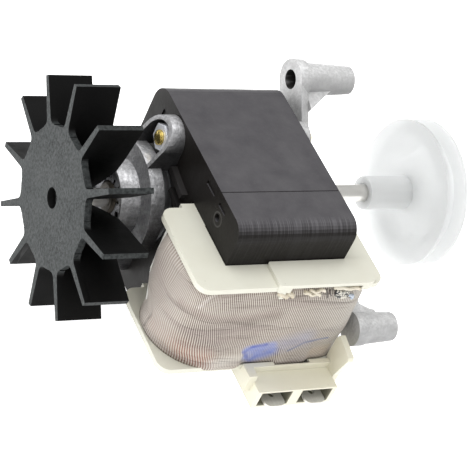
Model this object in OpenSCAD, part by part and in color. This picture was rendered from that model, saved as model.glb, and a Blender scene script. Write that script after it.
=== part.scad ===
// Dryer fan motor: a shaded-pole motor with a cooling impeller and a grooved wheel.
// The shaft lies along X. X = 0 is the plane that the two mounting bosses bolt to.
// Y points away from the coil and Z points out of the upper face of the frame.

/* [Shaft] */
// Diameter of the shaft
shaft_d = 5; // [4:0.5:6]
// How far the shaft reaches past the mounting plane
shaft_out = 29.5; // [24:0.5:32]
// Running clearance of the shaft in its bearings, on the radius
shaft_play = 0.02; // [0.01:0.01:0.06]
// Chamfer at both ends of the shaft
shaft_chamfer = 0.4; // [0.2:0.1:0.8]

/* [Frame] */
// Thickness of the stack of laminations
stack_len = 36; // [30:1:44]
// Distance from the stack to the mounting plane
stack_to_mount = 23; // [22:0.5:30]
// Half of the frame's width, from the shaft line to the outer face of a leg
frame_half = 28; // [27:0.5:32]
// Distance from the shaft line to the rotor end of the frame
rotor_end = 16.45; // [16:0.25:19]
// Thickness of a leg
leg_t = 12.1; // [11:0.25:13]
// Distance from the shaft line to the window
window_top = 17.2; // [16.5:0.1:17.6]
// Radius of the frame's corners at the rotor end
frame_corner = 6; // [3:0.5:7]
// Radius of the bore that the rotor turns in
bore_r = 12.8; // [12:0.1:13.4]
// Distance from the shaft line to the coil core bar
bar_near = 26.8; // [26:0.2:28]
// Height of the coil core bar
bar_h = 14.1; // [12:0.5:16]
// Radius of the bar's outer corners
bar_corner = 4.5; // [2:0.5:6]
// Radius in the window's corners beside the rotor
window_corner = 1.2; // [0.6:0.1:1.4]
// Radius of the knob that ties a leg to the bar
knob_r = 2.4; // [2:0.1:3]
// Distance of the knob's centre below the joint
knob_drop = 2.8; // [2.5:0.1:3.4]
// Distance of the knob's centre from the leg's outer face
knob_in = 6.4; // [5:0.2:7]
// Radius of the staking hole in a knob
stake_r = 1.1; // [0.6:0.1:1.4]

/* [Rotor] */
// Air gap between rotor and frame
air_gap = 0.35; // [0.3:0.05:0.5]
// Length of each end ring of the cage
ring_len = 3; // [2:0.25:3.5]
// Inner radius of the end rings
ring_r = 7.6; // [6.5:0.2:9]
// Number of cage bars
bars = 17; // [13:2:21]
// Radius of a cage bar
cage_bar_r = 0.9; // [0.6:0.1:1.1]
// Outer radius of the spacers on the shaft
spacer_r = 4; // [3.4:0.1:4.6]
// Thickness of a thrust washer
washer_t = 0.8; // [0.5:0.1:1.2]
// Outer radius of a thrust washer
washer_r = 3.6; // [3.2:0.1:3.7]
// End play between a thrust washer and its bearing
end_play = 0.3; // [0.2:0.05:0.5]

/* [Shading rings] */
// Side of the square copper section
ring_wire = 1.8; // [1.4:0.1:2]
// Clearance of a ring in its slot
ring_fit = 0.05; // [0.02:0.01:0.1]
// Distance of a ring from the bracket's lug
ring_gap = 0.3; // [0.2:0.1:0.6]

/* [Impeller] */
// Number of blades
blades = 12; // [8:1:14]
// Radius over the blade tips
fan_r = 32.5; // [28:0.5:34]
// Depth of the blades along the shaft
fan_depth = 12.9; // [9:0.1:14]
// Gap between the blades and the bracket's nose
fan_gap = 2.2; // [1.5:0.1:4]
// Radius of the impeller's front disc
disc_r = 19.3; // [17:0.1:21]
// Thickness of the front disc
disc_t = 2; // [1.6:0.1:3]
// Thickness of a blade at its tip
blade_tip_t = 1.5; // [1.2:0.1:2]
// Thickness of a blade at its root
blade_root_t = 2.2; // [1.8:0.1:2.6]
// Radius of the fillet where a blade leaves the disc
blade_fillet = 1.9; // [1:0.1:2.2]
// Turn of the first blade from the Y axis
blade_turn = 12.3; // [0:0.1:30]
// Outer radius of the impeller's hub
fan_hub_r = 5.2; // [4.5:0.1:6]
// Radius of the open hole in the front of the hub
fan_hole_r = 2.85; // [2.7:0.05:3.4]
// Depth of that open hole
fan_hole_deep = 2.4; // [1.5:0.1:3]
// Distance of the hub's end from the back edges of the blades
hub_back = 4.4; // [3.6:0.1:6]
// Radius of the hollow in the back edges of the blades
hollow_r = 14; // [12:0.5:18]

/* [Wheel] */
// Radius over the wheel's rims
wheel_r = 21.45; // [19:0.05:23]
// Width over both rims
wheel_w = 7.3; // [6:0.1:9]
// Thickness of one rim
rim_t = 1.6; // [1.2:0.1:2]
// Depth of the groove between the rims
groove_d = 3.6; // [2:0.1:5]
// Inner radius of the wheel's outer ring
wheel_ring_r = 15.6; // [14:0.1:16]
// Thickness of the web
web_t = 2; // [1.6:0.1:2.6]
// Outer radius of the wheel's hub
wheel_hub_r = 4.85; // [4:0.05:6]
// Distance from the mounting plane to the end of the hub
wheel_hub_x = 11.5; // [9:0.5:14]
// Distance from the mounting plane to the first rim
wheel_x = 25.9; // [24:0.1:27]
// Wall that closes the hub past the shaft's end
hub_cap = 1.6; // [1:0.1:2.4]

/* [Bearings] */
// Radius of the ball-shaped bearing
ball_r = 5.2; // [4.9:0.1:5.2]
// Length of the bearing
ball_len = 7.2; // [6.4:0.2:7.6]
// Radius of the hole that the bearing rests on
seat_r = 4; // [3.8:0.05:4.2]
// Clearance round the bearing in its pocket
pocket_fit = 0.2; // [0.1:0.05:0.3]
// Thickness of the spring retainer
clip_t = 0.5; // [0.3:0.1:0.8]
// Thickness of the oil felt
felt_t = 1.8; // [1.2:0.1:2]

/* [Brackets] */
// Outer radius of the bell
bell_r = 16.4; // [15.8:0.1:17]
// Gap between the frame and the bell's rim
bell_gap = 4.2; // [4:0.1:4.5]
// Height of the bell's shoulder above the frame
bell_h = 8.2; // [7.8:0.1:9]
// Wall of the bell
bell_t = 1.6; // [1.2:0.1:2]
// Radius of the bearing nose
nose_r = 10.65; // [10:0.05:11.5]
// Height of the nose above the frame
nose_h = 14; // [13.4:0.1:15]
// Radius of the recess in the nose
recess_r = 9.8; // [9:0.1:10]
// Distance of a clamp screw from the leg's outer face
screw_in = 6.8; // [6:0.1:7.5]
// Distance of a clamp screw from the shaft, away from the coil
screw_y = 0.8; // [0:0.1:1.5]
// Outer radius of a lug round a clamp screw
lug_r = 6; // [5.6:0.1:6.4]
// Wall of the lug
lug_t = 1.2; // [1:0.1:1.5]
// Height of the lug's tip above the frame
lug_tip_h = 3.6; // [3.2:0.1:4]
// Outer radius of a pad round a clamp screw on the wheel side
pad_r = 4.4; // [4:0.1:5]
// Height of such a pad above the frame
pad_h = 4.5; // [4.2:0.1:5]
// Thickness of the lug's floor
lug_floor = 1.5; // [1.2:0.1:2]

/* [Mounting bosses] */
// Y of the upper boss
boss1_y = 15.7; // [13:0.1:18]
// Z of the upper boss
boss1_z = 29.3; // [27:0.1:32]
// Length of the upper boss
boss1_len = 19; // [17:0.5:20]
// Y of the far boss
boss2_y = -46.2; // [-48:0.1:-44]
// Z of the far boss
boss2_z = -5.7; // [-7:0.1:-4]
// Length of the far boss
boss2_len = 13.2; // [12.8:0.1:13.3]
// Radius of a boss at its free end
boss_tip_r = 4; // [3.8:0.1:4.6]
// Radius of a boss at its arm
boss_root_r = 5; // [4.8:0.1:5.8]
// Radius of the hole through a boss
boss_hole_r = 2.75; // [2.2:0.05:3]
// Thickness of an arm
arm_t = 3.3; // [2.6:0.1:3.5]
// Width of the upper arm at the face towards the frame
arm_w = 11.4; // [10:0.1:12]
// Draft of the upper arm's sides, in all
arm_draft = 3.2; // [0:0.1:3.6]
// Turn about the shaft of the place where the upper arm leaves the bell
arm_turn = 82.7; // [70:0.1:100]
// Width of the far arm at the bell
arm2_w = 15; // [10:0.5:18]
// Thickness of the upper boss's rib
rib_t = 2.4; // [1.8:0.1:3]
// Height of the upper boss's rib over its arm, at the boss's axis
rib_rise = 14; // [10:0.5:15]
// Reach of the upper boss's rib from the boss's axis
rib_run = 10; // [8:0.2:12]
// Turn of that rib about the boss's axis
rib_turn = 200; // [180:1:215]
// Thickness of the far boss's rib
rib2_t = 5; // [3:0.1:6]
// Metal left under the blind hole of the far boss
boss2_floor = 2; // [1:0.1:3]

/* [Clamp screws] */
// Diameter of the clamp screws
screw_d = 4; // [3:0.5:5]
// Clearance round a clamp screw, on the radius
screw_fit = 0.15; // [0.05:0.05:0.3]
// Width of a nut across its flats
nut_af = 7; // [6:0.5:8]
// Height of a nut
nut_h = 2.7; // [2:0.1:3]
// How far a screw reaches past its nut
stud_out = 0.9; // [0.5:0.1:2]
// Chamfer at both ends of a screw
screw_lead = 0.4; // [0.2:0.1:0.8]
// How far a screw reaches past its pad on the wheel side
end_out = 2.1; // [0.6:0.1:2.6]

/* [Bobbin] */
// Thickness of a flange
flange_t = 1.6; // [1.2:0.1:2]
// Reach of the flanges past the stack at the impeller side
flange_fan = 10.8; // [9:0.1:12]
// Reach of the flanges past the stack at the wheel side
flange_wheel = 9.3; // [8:0.1:9.4]
// Reach of the flanges past the bar towards the rotor
flange_up = 6.7; // [5:0.1:7.5]
// Reach of the flanges past the bar away from the rotor
flange_down = 8.4; // [7:0.1:9]
// Radius of the flanges' corners
flange_corner = 3.5; // [2:0.5:5]
// Wall of the spool inside the coil
spool_t = 1.2; // [1:0.1:1.6]
// Clearance between spool and bar
spool_fit = 0.15; // [0.05:0.05:0.3]
// Height of the step in the flange's rotor edge
tab_step = 1.4; // [0.8:0.1:1.6]
// Height of the raised pocket above the flange
pocket_h = 1.1; // [0.6:0.1:2]
// Length of the raised pocket along the shaft
pocket_len = 31; // [18:0.5:31]
// Distance from the impeller-side face of the stack to the pocket
pocket_x = 12; // [10:0.5:14]
// Reach of the pocket past the flange's edge
pocket_lip = 0.6; // [0:0.1:1]

/* [Coil] */
// Clearance between a flange and the coil
coil_fit = 0.1; // [0.05:0.05:0.3]
// How far the tape lies inside the upper flange's edge
tape_in = 1.9; // [1.5:0.1:3]
// How far the tape lies inside the lower flange's edge
tape_in_low = 0.5; // [0.4:0.1:2]
// How much the coil bulges half way up
tape_bulge = 0.9; // [0:0.1:1.2]
// Thickness of the tape wrap
tape_t = 0.8; // [0.5:0.1:1.5]
// Radius of the coil's corners, if it were as large as the flanges
coil_corner = 8.4; // [6:0.2:10]

/* [Terminal block] */
// Width of the block
block_w = 25; // [24:0.5:28]
// Distance from the block to the flange's end at the wheel side
block_end = 4.3; // [4:0.1:8]
// Height of the block
block_h = 6.4; // [6:0.1:8]
// Reach of the block past the flange
block_out = 8.4; // [7:0.1:10]
// Width of a socket
socket_w = 9.5; // [9:0.1:10]
// Height of a socket
socket_h = 4.9; // [4:0.1:5]
// Depth of a socket
socket_deep = 7; // [6:0.1:8]
// Wall above a socket
socket_roof = 0.6; // [0.5:0.1:0.8]
// Wall beside a socket
socket_side = 1.4; // [1:0.1:1.6]
// Width of a spade tab
tab_w = 6.3; // [4.8:0.1:6.3]
// Thickness of a spade tab
tab_t = 0.8; // [0.5:0.1:0.8]
// Reach of a spade tab past the block
tab_out = 2; // [0:0.1:4]
// Height of the side wing above the flange's lower face
wing_h = 11; // [8:0.2:12]
// Thickness of the side wing
wing_t = 1.8; // [1.2:0.1:2.2]
// Reach of the side wing past the flange's edge
wing_w = 7.1; // [5:0.1:8]
// Thickness of the plate across the back of the block
back_t = 1.5; // [1.2:0.1:2]
// Width of the shoulder at the impeller side of the block
shoulder_w = 2.2; // [1.6:0.1:3]
// Reach of the shoulder past the flange's edge
shoulder_out = 4.7; // [3:0.1:6]
// Height of the shoulder
shoulder_h = 5.6; // [4:0.1:6]

/* [Hidden] */
$fn = 48;
eps = 0.01;

stack_x1 = -stack_to_mount;
stack_x0 = stack_x1 - stack_len;
leg_in = frame_half - leg_t;
bar_far = bar_near + bar_h;
rotor_r = bore_r - air_gap;
shaft_r = shaft_d / 2;
flange_y0 = -bar_far - flange_down;
flange_y1 = -bar_near + flange_up;
flange_x0 = stack_x0 - flange_fan;
flange_x1 = stack_x1 + flange_wheel;
seat_h = ball_seat_height();
ball_h = seat_h + sqrt(ball_r * ball_r - seat_r * seat_r) + 0.03;
clip_h = ball_h + sqrt(ball_r * ball_r - clip_hole_r() * clip_hole_r()) + 0.02;
felt_h = nose_h - 4;
fan_back = stack_x0 - nose_h - fan_gap;
fan_front = fan_back - fan_depth;
knob_z = frame_half - knob_in;
screw_z = frame_half - screw_in;
knob_neck = knob_r * 0.62;
dimple_z = frame_half - 3;
ring_edge = lug_r + ring_gap + ring_wire / 2;
ring_a_z = [15.8, 14.6];
ring_b = [[9.9, 11.6], [14.1, 10.6]];
ring_end = 13.9;
block_y0 = flange_y0 - block_out;
block_top = -leg_in;
socket_top = block_top - socket_roof;
tab_z = socket_top - socket_h * 0.7;
block_x0 = flange_x1 - block_end - block_w;
notch_x = block_x0 + 7.3;
notch_w = 11.2;
notch_d = 2.6;
rim_top = block_top + flange_t + 0.6;
shaft_x0 = fan_front + fan_hole_deep;
washer_h = ball_h - ball_len / 2 - end_play - washer_t;
boss_c1 = [boss1_y, boss1_z];
boss_c2 = [boss2_y, boss2_z];
coil_z = leg_in - flange_t - coil_fit;
spool_y = bar_h / 2 + spool_fit;
spool_x = stack_len / 2 + spool_fit;
bar_mid_y = -(bar_near + bar_far) / 2;
stack_mid_x = (stack_x0 + stack_x1) / 2;
steel = "#3a3a40";
cast = "#c3c5c8";
cream = "#e9e6d8";
bright = "#d9dadd";
copper = "#b5683c";
bronze = "#a8834e";

// Height of the bearing seat above the frame
function ball_seat_height() = nose_h - 7.6;
// Radius of the hole in a bearing clip
function clip_hole_r() = ball_r * 0.9;

// Points of an arc about c, from angle a0 to a1
function arc(c, r, a0, a1, n = 8) =
    [for (i = [0 : n]) c + r * [cos(a0 + (a1 - a0) * i / n), sin(a0 + (a1 - a0) * i / n)]];

// Rectangle with its own radius at each corner, from low to high corner
function round_box(lo, hi, r00, r10, r11, r01) = concat(
    arc([lo[0] + r00, lo[1] + r00], r00, 180, 270),
    arc([hi[0] - r10, lo[1] + r10], r10, 270, 360),
    arc([hi[0] - r11, hi[1] - r11], r11, 0, 90),
    arc([lo[0] + r01, hi[1] - r01], r01, 90, 180));

// Extrudes a shape drawn in Y and Z along X
module slab(x, len) {
    translate([x, 0, 0]) rotate([90, 0, 90]) linear_extrude(len) children();
}

// Turns a profile of radius and X about the shaft line
module spin() {
    rotate([90, 0, 90]) rotate_extrude() children();
}

// Round bar along X with its axis at c in Y and Z
module rod(x, len, r, c = [0, 0]) {
    translate([x, c[0], c[1]]) rotate([0, 90, 0]) cylinder(h = len, r = r);
}

// Puts a shape drawn outwards from the stack on one end of it: side -1 or 1
module on_end(side) {
    if (side > 0) translate([stack_x1, 0, 0]) children();
    else translate([stack_x0, 0, 0]) mirror([1, 0, 0]) children();
}

// Knob that ties a leg to the bar, in Y and Z
module knob(grow, s) {
    translate([-bar_near - knob_drop, s * knob_z]) circle(r = knob_r + grow);
    translate([-bar_near - knob_drop, s * knob_z - knob_neck - grow])
        square([knob_drop + 0.5, 2 * knob_neck + 2 * grow]);
}

// Places of the two legs of the outer shading ring on one side, in Y and Z
function ring_a(s) = [[screw_y - s * ring_edge, s * ring_a_z[0]], [-s * ring_end, s * ring_a_z[1]]];
// Places of the two legs of the inner shading ring
function ring_c(s) = [[-s * ring_b[0][0], s * ring_b[0][1]], [-s * ring_b[1][0], s * ring_b[1][1]]];

// One bar of a shading ring between two places, in Y and Z
module ring_bar(p, q, w) {
    d = q - p;
    translate(p) rotate(atan2(d[1], d[0])) translate([-w / 2, -w / 2]) square([norm(d) + w, w]);
}

// One leg of a shading ring, in Y and Z
module ring_leg(p, q, at, w) {
    d = q - p;
    translate(at) rotate(atan2(d[1], d[0])) square(w, center = true);
}

module shading_ring(pair) {
    p = pair[0];
    q = pair[1];
    for (at = [p, q])
        slab(stack_x0 - ring_wire / 2, stack_len + ring_wire) ring_leg(p, q, at, ring_wire);
    slab(stack_x0 - ring_wire - 0.05, ring_wire) ring_bar(p, q, ring_wire);
    slab(stack_x1 + 0.05, ring_wire) ring_bar(p, q, ring_wire);
}

module shading_rings(s) {
    color(copper) {
        shading_ring(ring_a(s));
        shading_ring(ring_c(s));
    }
}

module stator_stack() {
    color(steel)
    difference() {
        slab(stack_x0, stack_len) difference() {
            union() {
                difference() {
                    polygon(round_box([-bar_near, -frame_half], [rotor_end, frame_half],
                        0.3, frame_corner, frame_corner, 0.3));
                    polygon(round_box([-bar_near - 1, -leg_in], [-window_top, leg_in],
                        0.5, window_corner, window_corner, 0.5));
                }
                for (s = [-1, 1]) knob(0, s);
            }
            circle(r = bore_r);
            for (s = [-1, 1]) {
                translate([s * (bore_r + 0.4), 0]) circle(r = 1.3);
                translate([screw_y, s * screw_z]) circle(r = screw_d / 2 + screw_fit);
                translate([-bar_near - knob_drop, s * knob_z]) circle(r = stake_r);
                for (pair = [ring_a(s), ring_c(s)])
                    for (at = pair)
                        ring_leg(pair[0], pair[1], at, ring_wire + 2 * ring_fit);
            }
        }
        // Interlock dimples that hold the laminations together
        for (s = [-1, 1]) {
            translate([stack_x0 - 1, -bar_near + 2, s * dimple_z - 0.6]) cube([1.4, 5, 1.2]);
            translate([stack_x0 - 1, screw_y + lug_r + 1.6, s * screw_z - 1.6]) cube([1.4, 1.6, 3.6]);
        }
    }
}

module coil_core_bar() {
    color(steel)
    difference() {
        slab(stack_x0, stack_len) difference() {
            polygon(round_box([-bar_far, -frame_half], [-bar_near, frame_half],
                bar_corner, 0.3, 0.3, bar_corner));
            for (s = [-1, 1]) knob(0.03, s);
        }
        for (s = [-1, 1])
            translate([stack_x0 - 1, -bar_near - 5, s * dimple_z - 0.6]) cube([1.4, 4, 1.2]);
    }
}

// Outline of a flange, in X and Y
module flange_outline() {
    polygon(round_box([flange_x0, flange_y0], [flange_x1, flange_y1],
        flange_corner, flange_corner, flange_corner, flange_corner));
    translate([stack_x0 - 4, flange_y1 - 2]) square([stack_len + 8, 2 + tab_step]);
}

// Room for the bar inside the spool, in X and Y
module bar_room() {
    translate([stack_mid_x - spool_x, bar_mid_y - spool_y]) square([2 * spool_x, 2 * spool_y]);
}

module bobbin() {
    color(cream) {
        difference() {
            union() {
                for (s = [-1, 1])
                    translate([0, 0, s * (leg_in - flange_t / 2) - flange_t / 2])
                        linear_extrude(flange_t) flange_outline();
                translate([stack_mid_x - spool_x - spool_t, bar_mid_y - spool_y - spool_t, -leg_in + 1])
                    cube([2 * (spool_x + spool_t), 2 * (spool_y + spool_t), 2 * leg_in - 2]);
                raised_pocket();
            }
            translate([0, 0, -leg_in - 1]) linear_extrude(2 * leg_in + 2) bar_room();
            translate([notch_x, flange_y0 - 1, -leg_in - 1]) cube([notch_w, notch_d + 1, flange_t + 2]);
            pocket_hollow();
        }
    }
}

// Pocket on the upper flange over the spliced leads
module raised_pocket() {
    x0 = stack_x0 + pocket_x;
    translate([0, 0, leg_in - flange_t]) linear_extrude(flange_t + pocket_h)
        polygon(round_box([x0, flange_y0 - pocket_lip], [x0 + pocket_len, -bar_far - 0.3],
            1, flange_corner, 0.4, 0.8));
    translate([x0 + 1.5, flange_y0 - pocket_lip, leg_in - flange_t - 2.2]) cube([1.2, 1.4, 3]);
}

module pocket_hollow() {
    x0 = stack_x0 + pocket_x;
    translate([x0 + 4, flange_y0 - 1, leg_in - flange_t - 1])
        cube([pocket_len - 9, flange_down - 1.4, flange_t + 1]);
}

// Solid of the coil, shrunk by in on every side
module coil_body(in) {
    hull() {
        coil_ring(coil_z - 0.5, tape_in + in);
        coil_ring(coil_z * 0.45, tape_in + in - tape_bulge);
        coil_ring(-coil_z * 0.35, tape_in_low + in - tape_bulge * 0.3);
        coil_ring(-coil_z + 0.5, tape_in_low + in);
    }
}

// Thin slice of the coil at height z, this far inside the flanges' outline
module coil_ring(z, inset) {
    r = coil_corner - inset;
    translate([0, 0, z - 0.5]) linear_extrude(1)
        polygon(round_box([flange_x0 + inset, flange_y0 + inset],
            [flange_x1 - inset, flange_y1 - max(inset, tape_in)], r, r, r, r));
}

// Room for the spool inside the coil
module spool_room(gap) {
    w = spool_t + gap;
    translate([stack_mid_x - spool_x - w, bar_mid_y - spool_y - w, -frame_half])
        cube([2 * (spool_x + w), 2 * (spool_y + w), 2 * frame_half]);
}

module coil_winding() {
    color(copper)
    difference() {
        intersection() {
            coil_body(tape_t + 0.1);
            translate([-200, -100, -coil_z + 0.6]) cube([400, 200, 2 * coil_z - 1.2]);
        }
        spool_room(0.1);
    }
}

module coil_tape() {
    color("#d8ccc0")
    difference() {
        coil_body(0);
        coil_body(tape_t);
        spool_room(0.1);
    }
}

module lead_splices() {
    x0 = stack_x0 + pocket_x;
    y0 = flange_y0 + 1.2;
    z0 = leg_in - flange_t + 0.7;
    color("#b9a98a") {
        rod(x0 + 5, 8, 0.6, [y0, z0]);
        rod(x0 + 8, 9, 0.8, [y0 + 2, z0 + 0.05]);
    }
}

// Low X of a socket, counted from the impeller side
function socket_x(i) = block_x0 + socket_side + i * (block_w - 2 * socket_side - socket_w);

// Outline of the side wing, in Y and Z, from points counted from the flange's lower edge
function wing_outline() = [for (p = [[-0.1, -block_h], [-0.1, flange_t + 0.1], [1, flange_t + 0.5],
    [1, wing_h - 1.8], [0.3, wing_h], [0.4 - wing_w, wing_h - 1.3], [-wing_w, wing_h - 2.4],
    [2.1 - wing_w, 0.8], [2.1 - wing_w, -block_h]]) [flange_y0, block_top] + p];

module terminal_block() {
    low = block_top - block_h;
    side_x = block_x0 - shoulder_w;
    color("#ece9d6")
    difference() {
        union() {
            translate([block_x0, block_y0, low]) cube([block_w, block_out + 5, block_h - 0.02]);
            // Plate along the flange's edge
            translate([side_x, flange_y0 - back_t, rim_top - shoulder_h])
                cube([shoulder_w + block_w, back_t - 0.02, shoulder_h]);
            // Shoulder at the impeller side
            translate([side_x, flange_y0 - shoulder_out, rim_top - shoulder_h])
                cube([shoulder_w + 0.5, shoulder_out - 0.02, shoulder_h]);
            translate([side_x, flange_y0 - back_t, rim_top - shoulder_h])
                cube([shoulder_w + 0.5, back_t + 0.9, shoulder_h - (rim_top - block_top) - 0.02]);
            slab(block_x0 + block_w - 0.2, wing_t) polygon(wing_outline());
        }
        translate([notch_x, flange_y0 - back_t + 0.4, block_top - 1.2]) cube([notch_w, 20, 20]);
        for (i = [0, 1]) {
            translate([socket_x(i), block_y0 - 1, socket_top - socket_h])
                cube([socket_w, socket_deep + 1, socket_h]);
            translate([socket_x(i) + (socket_w - tab_w) / 2, block_y0, tab_z - tab_t / 2])
                cube([tab_w, block_out + 2.5, tab_t]);
        }
    }
}

module spade_tab(i) {
    x0 = socket_x(i) + (socket_w - tab_w) / 2 + 0.02;
    end = [x0 + tab_w - 0.04, block_y0 + block_out + 2.4];
    color(bright)
    translate([0, 0, tab_z - tab_t / 2 + 0.02]) linear_extrude(tab_t - 0.04) difference() {
        polygon(round_box([x0, block_y0 - tab_out], end, 1.8, 1.8, 0.2, 0.2));
        translate([x0 + tab_w / 2, block_y0 + 2]) circle(r = 0.9);
    }
}

// Bell with its bearing nose, as radius and height above the stack
module bell() {
    spin() polygon([
        [bell_r, bell_gap], [bell_r, bell_h], [nose_r, bell_h], [nose_r, nose_h],
        [recess_r, nose_h], [recess_r, felt_h], [ball_r + pocket_fit, felt_h],
        [ball_r + pocket_fit, seat_h], [seat_r, seat_h], [seat_r, seat_h - bell_t],
        [nose_r - bell_t, seat_h - bell_t], [bell_r - bell_t, bell_h - bell_t],
        [bell_r - bell_t, bell_gap]]);
}

// Solid round a clamp screw that joins the bell, and the trough inside it
module lug_blank(s, r, h0, h1) {
    slab(h0, h1 - h0) {
        translate([screw_y, s * screw_z]) circle(r = r);
        translate([screw_y - r, min(0, s * screw_z)]) square([2 * r, screw_z]);
    }
}

module lugs() {
    slope = atan2(bell_h - lug_tip_h, screw_z + lug_r - bell_r);
    difference() {
        for (s = [-1, 1]) {
            difference() {
                lug_blank(s, lug_r, 0, bell_h);
                lug_blank(s, lug_r - lug_t, lug_floor, bell_h + 4);
                translate([bell_h, 0, s * (bell_r - 0.5)]) rotate([0, -s * slope, 0])
                    translate([0, -20, -20 + s * 20]) cube([20, 40, 40]);
                rod(-1, 4, screw_d / 2 + screw_fit, [screw_y, s * screw_z]);
            }
        }
        rod(-1, nose_h + 2, bell_r - bell_t / 2);
    }
}

module impeller_bracket() {
    color(cast)
    on_end(-1) {
        bell();
        lugs();
    }
}

// Tapered boss with its free end in the mounting plane
module boss(c, len, less) {
    translate([-len, c[0], c[1]]) rotate([0, 90, 0])
        cylinder(h = len, r1 = boss_root_r - less, r2 = boss_tip_r);
}

// Straight arm between two places, in Y and Z, with its own width at each end
module arm(p, q, w0, w1) {
    d = q - p;
    n = [-d[1], d[0]] / norm(d);
    polygon([p + n * w0 / 2, q + n * w1 / 2, q - n * w1 / 2, p - n * w0 / 2]);
}

// Rib on an arm beside its boss: crest holds pairs of height over the arm and distance from the boss
module rib(c, a, x, w, crest) {
    translate([x, c[0], c[1]]) rotate([a, 0, 0]) translate([0, 0, -w / 2])
        linear_extrude(w) polygon(concat([[0, 0]], crest));
}

// Pads round the clamp screws on the wheel side
module pads() {
    for (s = [-1, 1])
        slab(stack_x1, pad_h) {
            translate([screw_y, s * screw_z]) circle(r = pad_r);
            translate([screw_y - pad_r, min(0, s * screw_z)]) square([2 * pad_r, screw_z]);
        }
}

// Upper arm with drafted sides, from the bell to the boss
module arm_1(x) {
    root = (bell_r - 1.4) * [cos(arm_turn), sin(arm_turn)];
    hull() {
        slab(x, 0.1) arm(root, boss_c1, arm_w, arm_w);
        slab(x + arm_t - 0.1, 0.1) arm(root, boss_c1, arm_w - arm_draft, arm_w - arm_draft);
    }
    rod(x, arm_t, arm_w / 2, boss_c1);
}

module wheel_bracket() {
    x1 = -boss1_len;
    x2 = -boss2_len;
    root2 = [0, -0.7];
    color(cast)
    difference() {
        union() {
            on_end(1) bell();
            difference() {
                union() {
                    pads();
                    arm_1(x1);
                }
                rod(stack_x1 - 1, bell_h + 2, bell_r - bell_t / 2);
            }
            slab(x2, arm_t) difference() {
                union() {
                    arm(root2, boss_c2, arm2_w, arm2_w / 2);
                    translate(boss_c2) circle(r = boss_root_r - 0.2);
                }
                circle(r = (nose_r + recess_r) / 2);
            }
            boss(boss_c1, boss1_len, 0);
            boss(boss_c2, boss2_len, 0.3);
            rib(boss_c1, rib_turn, x1 + arm_t - eps, rib_t, [[rib_rise, 0], [0, rib_run]]);
            rib(boss_c2, atan2(root2[1] - boss2_z, root2[0] - boss2_y), x2 + arm_t - eps, rib2_t,
                [[5.4, 0], [5.4, boss_tip_r + 0.2], [3.9, boss_tip_r + 0.7],
                [1.4, boss_tip_r + 2.4], [0, boss_tip_r + 5.5]]);
        }
        rod(x1 - 1, boss1_len + 2, boss_hole_r, boss_c1);
        rod(x2 + boss2_floor, boss2_len, boss_hole_r, boss_c2);
        for (s = [-1, 1])
            rod(stack_x1 - 1, bell_h + 2, screw_d / 2 + screw_fit, [screw_y, s * screw_z]);
        rod(stack_x1 - 1, 40, seat_r);
    }
}

module bearing(side) {
    color(bronze)
    on_end(side) difference() {
        intersection() {
            translate([ball_h, 0, 0]) sphere(r = ball_r);
            rod(ball_h - ball_len / 2, ball_len, ball_r + 1);
        }
        rod(0, 40, shaft_r + shaft_play);
    }
}

// Spring clip that holds a bearing in its pocket
module bearing_clip(side) {
    color(bright)
    on_end(side) slab(clip_h, clip_t) difference() {
        circle(r = recess_r - 0.03);
        circle(r = clip_hole_r());
        for (a = [0 : 60 : 300])
            rotate(a) translate([clip_hole_r() + 2, 0]) circle(r = 0.9);
        for (a = [30 : 60 : 330])
            rotate(a) translate([clip_hole_r() - 0.5, -0.4]) square([2.2, 0.8]);
    }
}

module oil_felt(side) {
    color("#cdbf9a")
    on_end(side) slab(felt_h + 0.03, felt_t) difference() {
        circle(r = recess_r - 0.1);
        circle(r = ball_r + 0.1);
    }
}

module clamp_screws() {
    end_x = stack_x1 + pad_h + end_out;
    tip_x = stack_x0 - lug_floor - nut_h - stud_out;
    color("#c9b25a")
    for (s = [-1, 1])
        translate([0, screw_y, s * screw_z]) spin() polygon([
            [0, tip_x], [screw_d / 2 - screw_lead, tip_x], [screw_d / 2, tip_x + screw_lead],
            [screw_d / 2, end_x - screw_lead], [screw_d / 2 - screw_lead, end_x], [0, end_x]]);
}

module clamp_nuts() {
    color(bright)
    for (s = [-1, 1])
        translate([stack_x0 - lug_floor - nut_h - 0.02, screw_y, s * screw_z]) rotate([0, 90, 0])
            difference() {
                cylinder(h = nut_h, r = nut_af / sqrt(3), $fn = 6);
                translate([0, 0, -1]) cylinder(h = nut_h + 2, r = screw_d / 2 + 0.02, $fn = 48);
            }
}

module shaft() {
    r = shaft_r;
    c = shaft_chamfer;
    color(bright)
    spin() polygon([
        [0, shaft_x0], [r - c, shaft_x0], [r, shaft_x0 + c],
        [r, shaft_out - c], [r - c, shaft_out], [0, shaft_out]]);
}

// Cage bars in Y and Z
module cage_bars(grow) {
    for (i = [0 : bars - 1])
        rotate(i * 360 / bars) translate([rotor_r - cage_bar_r - 0.6, 0]) circle(r = cage_bar_r + grow);
}

module rotor_core() {
    color("#6d6e73")
    slab(stack_x0, stack_len) difference() {
        circle(r = rotor_r);
        circle(r = shaft_r + 0.01);
        cage_bars(0.01);
    }
}

module rotor_cage() {
    color("#c8cacc") {
        slab(stack_x0 - eps, stack_len + 2 * eps) cage_bars(0);
        for (x = [stack_x0 - ring_len, stack_x1])
            slab(x, ring_len) difference() {
                circle(r = rotor_r - 0.4);
                circle(r = ring_r);
            }
    }
}

module spacer(side) {
    color(bright)
    on_end(side) slab(0.02, washer_h - 0.04) difference() {
        circle(r = spacer_r);
        circle(r = shaft_r + 0.01);
    }
}

module thrust_washer(side) {
    color("#8a5a2c")
    on_end(side) slab(washer_h, washer_t) difference() {
        circle(r = washer_r);
        circle(r = shaft_r + 0.02);
    }
}

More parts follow.
